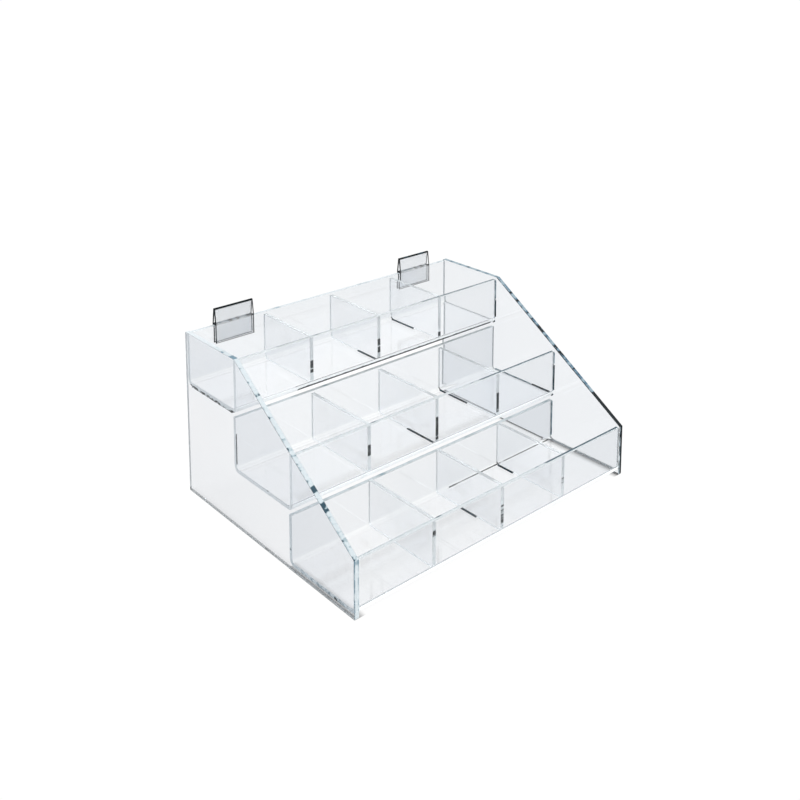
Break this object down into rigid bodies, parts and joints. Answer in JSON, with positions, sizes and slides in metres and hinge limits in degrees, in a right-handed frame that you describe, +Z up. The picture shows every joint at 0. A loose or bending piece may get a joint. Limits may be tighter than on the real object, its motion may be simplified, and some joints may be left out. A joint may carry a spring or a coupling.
{
  "type": "tiered shelf riser",
  "caption": "Open-backed clear acrylic counter riser: stepped trays split by dividers between side panels, with push-on sign clips along the rear wall.",
  "frame": {"origin": "on the counter, under the middle of the whole object", "axes": "+Z up, +Y from the low front lip towards the tall open back, +X to the right when facing the front"},
  "size_m": [0.4064, 0.3064, 0.211],
  "materials": {
    "side_panel": "clear, polished faces and edges",
    "tray": "clear, polished, heat-bent",
    "divider": "clear, polished faces, saw-cut then flamed edges",
    "sign_clip": "clear extruded plastic with fine drawing lines"
  },
  "bodies": {
    "riser": {"side_panel_left": "side_panel", "side_panel_right": "side_panel", "tray_top": "tray", "tray_middle": "tray", "tray_bottom": "tray", "divider_top_left": "divider", "divider_top_centre": "divider", "divider_top_right": "divider", "divider_middle_left": "divider", "divider_middle_centre": "divider", "divider_middle_right": "divider", "divider_bottom_left": "divider", "divider_bottom_centre": "divider", "divider_bottom_right": "divider"},
    "clip_left": {"sign_clip_left": "sign_clip"},
    "clip_right": {"sign_clip_right": "sign_clip"}
  },
  "joints": [
    {"name": "clip_left_lift", "type": "slide", "parent": "riser", "child": "clip_left", "axis": [0, 0, 1], "range_m": [0, 0.03]},
    {"name": "clip_right_lift", "type": "slide", "parent": "riser", "child": "clip_right", "axis": [0, 0, 1], "range_m": [0, 0.03]}
  ]
}
